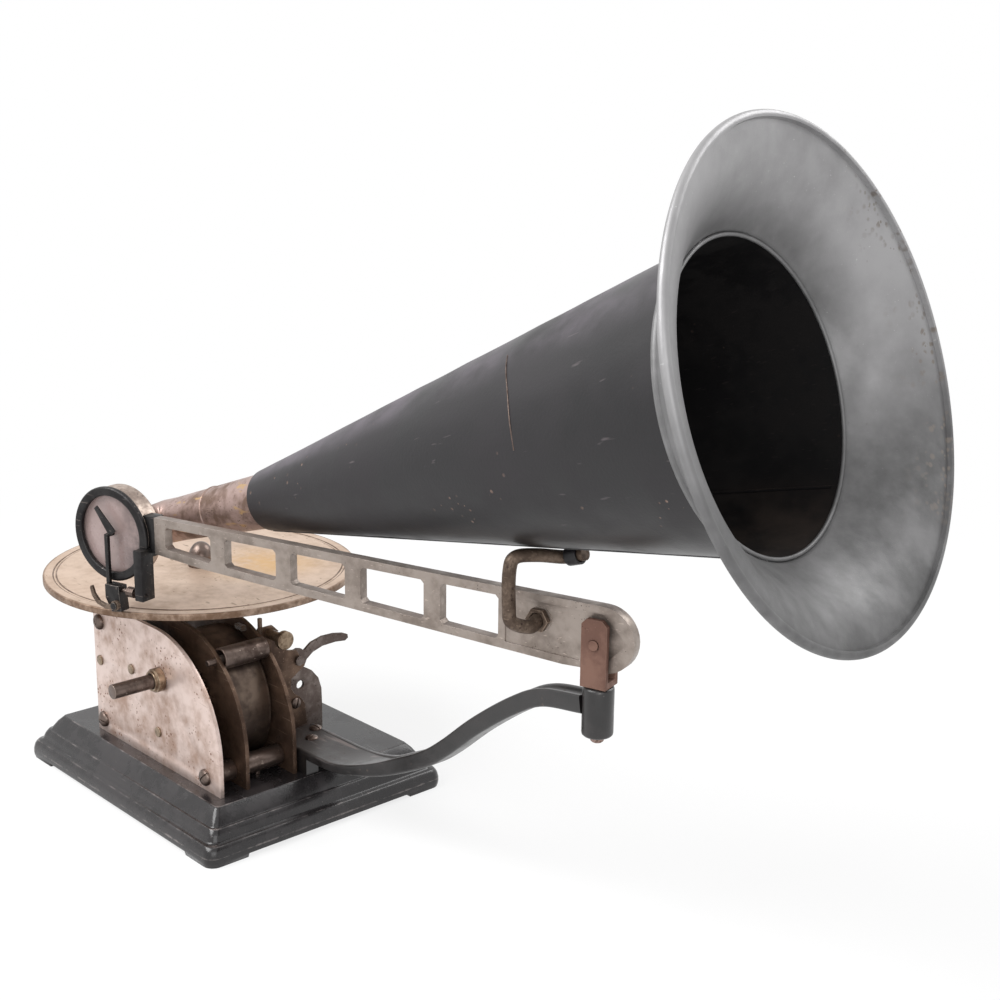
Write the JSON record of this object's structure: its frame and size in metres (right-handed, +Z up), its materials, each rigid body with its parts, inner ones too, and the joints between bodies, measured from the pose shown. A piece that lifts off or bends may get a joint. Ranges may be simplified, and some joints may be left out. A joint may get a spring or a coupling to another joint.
{
  "type": "disc phonograph",
  "caption": "Small spring-driven disc phonograph: open motor on a moulded plinth, flat turntable, swinging truss arm with sound box, and a long outside horn with a flared bell.",
  "frame": {"origin": "middle of the outer box, on the ground under the feet", "axes": "+Z up; +X along the motor plates from the turntable spindle towards the post of the arm; +Y square to the motor plates, from the winding side to the control side"},
  "size_m": [0.538, 0.2126, 0.3821],
  "materials": {
    "black_iron": "satin black paint over cast iron, worn edges",
    "pale_nickel": "warm pale worn nickel plate",
    "brown_nickel": "brown tarnished nickel plate",
    "dark_steel": "dark aged steel",
    "blued_steel": "dark blued sheet steel, scratched",
    "gear_brass": "aged brass",
    "platter_nickel": "yellowed pale nickel plate",
    "brown_felt": "fuzzy brown felt",
    "grey_steel": "dull grey steel",
    "red_iron": "matt red-brown iron",
    "cast_aluminium": "warm grey aged casting",
    "brown_rod": "brown tarnished steel",
    "old_brass": "worn dark brass",
    "horn_japan": "matt black japan with rust flecks",
    "grey_tin": "satin bare grey sheet metal",
    "gun_metal": "dark worn gunmetal",
    "mica": "cloudy pinkish-grey mica sheet"
  },
  "bodies": {
    "base": {"base_plinth": "black_iron", "plate_left": "pale_nickel", "plate_middle": "brown_nickel", "plate_right": "brown_nickel", "pillar_short_back_top": "dark_steel", "pillar_short_back_low": "dark_steel", "pillar_short_front_low": "dark_steel", "pillar_long_back_top": "dark_steel", "pillar_long_back_low": "dark_steel", "pillar_long_front_low": "dark_steel", "pillar_long_front_top": "dark_steel", "plate_screw_back_top": "dark_steel", "plate_screw_back_low": "dark_steel", "plate_screw_front_low": "dark_steel", "hold_down_screw_back": "dark_steel", "hold_down_screw_front": "dark_steel", "winding_bushing": "dark_steel", "governor_brake_leaf": "gear_brass", "felt_pad": "brown_felt", "spindle_foot_bearing": "dark_steel", "spindle_bridge": "dark_steel", "control_bracket": "grey_steel", "speed_plate": "brown_nickel", "speed_plate_screw": "dark_steel", "arm_bracket": "black_iron", "bracket_screw_outer": "dark_steel", "bracket_screw_inner": "dark_steel"},
    "turntable": {"turntable": "platter_nickel", "spindle": "dark_steel", "turntable_knob": "dark_steel"},
    "barrel": {"spring_barrel": "blued_steel", "barrel_cover": "blued_steel", "mainspring": "blued_steel"},
    "winding_arbor": {"winding_arbor": "dark_steel"},
    "winding_shaft": {"winding_shaft": "dark_steel"},
    "pawl": {"pawl": "dark_steel"},
    "second_arbor": {"second_arbor": "gear_brass"},
    "third_arbor": {"third_arbor": "gear_brass"},
    "governor": {"governor_shaft": "gear_brass", "governor_disc": "gear_brass", "governor_weight_a": "gear_brass", "governor_weight_b": "gear_brass"},
    "stop_lever": {"stop_lever": "grey_steel"},
    "speed_screw": {"speed_screw": "pale_nickel"},
    "swivel": {"yoke": "red_iron", "yoke_pin": "dark_steel", "stem_nut": "old_brass"},
    "arm": {"arm": "cast_aluminium", "horn_rod": "brown_rod", "rod_nut": "brown_rod", "elbow": "old_brass", "soundbox_housing": "gun_metal", "soundbox_ring": "gun_metal", "diaphragm": "mica", "holder_pivot_screw": "dark_steel"},
    "stylus": {"stylus_bar": "gun_metal", "needle_holder": "gun_metal"},
    "needle_clamp": {"needle_lever": "brown_rod"},
    "horn": {"horn_cone": "horn_japan", "horn_bell": "grey_tin"}
  },
  "joints": [
    {"name": "turntable_spin", "type": "hinge", "parent": "base", "child": "turntable", "pos_m": [-0.18008, -0.01657, 0.1], "axis": [0, 0, 1], "continuous": true},
    {"name": "third_arbor_spin", "type": "hinge", "parent": "base", "child": "third_arbor", "pos_m": [-0.19567, -0.03657, 0.0685], "axis": [0, 1, 0], "continuous": true},
    {"name": "second_arbor_spin", "type": "hinge", "parent": "base", "child": "second_arbor", "pos_m": [-0.16095, -0.06657, 0.07289], "axis": [0, 1, 0], "continuous": true},
    {"name": "barrel_spin", "type": "hinge", "parent": "base", "child": "barrel", "pos_m": [-0.13064, -0.04457, 0.05804], "axis": [0, 1, 0], "continuous": true},
    {"name": "governor_spin", "type": "hinge", "parent": "base", "child": "governor", "pos_m": [-0.18543, -0.04357, 0.05075], "axis": [0, 1, 0], "continuous": true},
    {"name": "winding_arbor_spin", "type": "hinge", "parent": "base", "child": "winding_arbor", "pos_m": [-0.13064, -0.05657, 0.05804], "axis": [0, 1, 0], "continuous": true},
    {"name": "winding_shaft_spin", "type": "hinge", "parent": "base", "child": "winding_shaft", "pos_m": [-0.13064, -0.08657, 0.07604], "axis": [0, 1, 0], "continuous": true},
    {"name": "pawl_lift", "type": "hinge", "parent": "base", "child": "pawl", "pos_m": [-0.13484, -0.06887, 0.04404], "axis": [0, -1, 0], "range_deg": [0, 14], "stiffness_Nm_per_rad": 0.002},
    {"name": "stop_lever_turn", "type": "hinge", "parent": "base", "child": "stop_lever", "pos_m": [-0.11207, 0.00103, 0.0736], "axis": [1, 0, 0], "range_deg": [-20, 15]},
    {"name": "speed_screw_turn", "type": "hinge", "parent": "base", "child": "speed_screw", "pos_m": [-0.10508, -0.01897, 0.0944], "axis": [1, 0, 0], "range_deg": [-180, 180]},
    {"name": "arm_swing", "type": "hinge", "parent": "base", "child": "swivel", "pos_m": [0.13203, -0.01047, 0.122], "axis": [0, 0, 1], "range_deg": [-15, 14]},
    {"name": "arm_lift", "type": "hinge", "parent": "swivel", "child": "arm", "pos_m": [0.13203, -0.01047, 0.1537], "axis": [-0.2756, 0.9613, 0], "range_deg": [0, 30]},
    {"name": "horn_pull", "type": "slide", "parent": "arm", "child": "horn", "axis": [0.9404, 0.1422, 0.309], "range_m": [0, 0.08]},
    {"name": "stylus_rock", "type": "hinge", "parent": "arm", "child": "stylus", "pos_m": [-0.13882, -0.09624, 0.1299], "axis": [0.9613, 0.2756, 0], "range_deg": [-1, 1], "stiffness_Nm_per_rad": 1},
    {"name": "needle_lever_turn", "type": "hinge", "parent": "stylus", "child": "needle_clamp", "pos_m": [-0.13261, -0.09904, 0.1224], "axis": [-0.2756, 0.9613, 0], "range_deg": [0, 25]}
  ],
  "couplings": [
    {"joint": "third_arbor_spin", "follows": "turntable_spin", "ratio": 1},
    {"joint": "second_arbor_spin", "follows": "turntable_spin", "ratio": -0.4},
    {"joint": "barrel_spin", "follows": "turntable_spin", "ratio": 0.1},
    {"joint": "governor_spin", "follows": "turntable_spin", "ratio": -4.125},
    {"joint": "winding_shaft_spin", "follows": "winding_arbor_spin", "ratio": -2}
  ]
}
